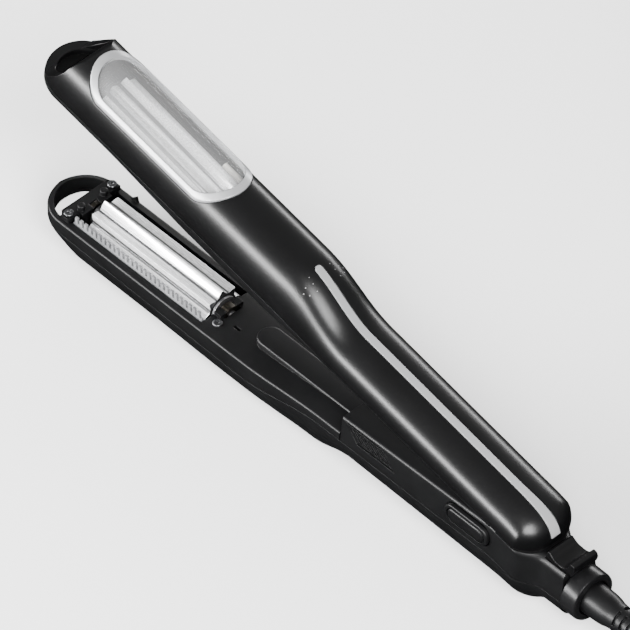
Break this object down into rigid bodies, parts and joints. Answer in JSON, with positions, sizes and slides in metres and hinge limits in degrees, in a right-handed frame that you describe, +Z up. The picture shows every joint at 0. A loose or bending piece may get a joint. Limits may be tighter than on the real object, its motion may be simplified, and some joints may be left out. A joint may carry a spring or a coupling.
{
  "type": "hair crimper",
  "caption": "Hinged hair crimper: one fluted roller per arm under a windowed shell, side button, lock slider, comb guard, swivel cord boot and a tied cord with plug.",
  "frame": {"origin": "middle of the flat strip on the lower arm's belly, where it rests on the table", "axes": "+X along the arms towards the tip, +Z up out of the lower arm, +Y to the push button's side"},
  "size_m": [0.5073, 0.0522, 0.1143],
  "materials": {
    "matte_black": "fine matte",
    "satin_black": "satin",
    "gloss_black": "high gloss",
    "comb_grey": "matte",
    "dark_grey": "matte",
    "screw_steel": "satin",
    "motor_steel": "turned",
    "board_green": "solder mask",
    "ceramic": "unglazed",
    "bush_brass": "dark sintered",
    "cord_black": "fine matte",
    "bezel_silver": "satin chrome",
    "clear_window": "clear",
    "clear_strip": "clear, gloss",
    "roller_silver": "fine ceramic coat"
  },
  "bodies": {
    "lower_arm": {"lower_outer_shell": "matte_black", "lower_inner_cover": "matte_black", "rear_housing": "matte_black", "lower_tip_cover": "matte_black", "comb_guard": "comb_grey", "vent_grille": "matte_black", "button_ring": "matte_black", "collar_ring": "satin_black", "tip_screw_1": "screw_steel", "tip_screw_2": "screw_steel", "cover_screw": "screw_steel", "bottom_screw_1": "screw_steel", "bottom_screw_2": "screw_steel", "lower_gearmotor": "motor_steel", "control_board": "board_green", "button_switch": "dark_grey", "button_spring": "screw_steel", "hinge_pin": "motor_steel", "hinge_spring": "screw_steel", "cord_clamp": "dark_grey", "lower_thermal_fuse": "ceramic", "lower_heater_core": "ceramic", "lower_front_bush": "bush_brass", "lower_rear_bush": "bush_brass", "power_cord": "cord_black", "cord_hank": "cord_black", "cord_tail": "cord_black", "cord_tie": "matte_black", "plug_body": "cord_black", "plug_pin_1": "screw_steel", "plug_pin_2": "screw_steel"},
    "upper_arm": {"upper_outer_shell": "gloss_black", "upper_inner_frame": "matte_black", "window_bezel": "bezel_silver", "window_lens": "clear_window", "light_strip": "clear_strip", "led_board": "board_green", "upper_thermal_fuse": "ceramic", "frame_screw_1": "screw_steel", "frame_screw_2": "screw_steel", "upper_heater_core": "ceramic", "upper_front_bush": "bush_brass", "upper_rear_bush": "bush_brass", "upper_gearmotor": "motor_steel"},
    "lower_roller_set": {"lower_roller": "roller_silver", "lower_front_hub": "dark_grey", "lower_drive_shaft": "motor_steel"},
    "upper_roller_set": {"upper_roller": "roller_silver", "upper_front_hub": "dark_grey", "upper_drive_shaft": "motor_steel"},
    "button": {"side_button": "matte_black"},
    "slider": {"lock_slider": "gloss_black"},
    "boot": {"strain_relief": "matte_black"}
  },
  "joints": [
    {"name": "arm_hinge", "type": "hinge", "parent": "lower_arm", "child": "upper_arm", "pos_m": [-0.133, 0, 0.0365], "axis": [0, -1, 0], "range_deg": [-13.7, 0], "stiffness_Nm_per_rad": 1.6, "springref_deg": 8.59},
    {"name": "lower_roller_spin", "type": "hinge", "parent": "lower_arm", "child": "lower_roller_set", "pos_m": [0.0756, 0, 0.0202], "axis": [1, 0, 0], "continuous": true},
    {"name": "upper_roller_spin", "type": "hinge", "parent": "upper_arm", "child": "upper_roller_set", "pos_m": [0.06907, 0, 0.08833], "axis": [0.9715, 0, 0.2368], "continuous": true},
    {"name": "button_press", "type": "slide", "parent": "lower_arm", "child": "button", "axis": [0, -1, 0], "range_m": [0, 0.0012], "stiffness_N_per_m": 600, "springref_m": -0.0006},
    {"name": "lock_slide", "type": "slide", "parent": "lower_arm", "child": "slider", "axis": [-1, 0, 0], "range_m": [0, 0.003]},
    {"name": "boot_swivel", "type": "hinge", "parent": "lower_arm", "child": "boot", "pos_m": [-0.173, 0, 0.0178], "axis": [1, 0, 0], "continuous": true}
  ],
  "couplings": [
    {"joint": "upper_roller_spin", "follows": "lower_roller_spin", "ratio": -1}
  ]
}
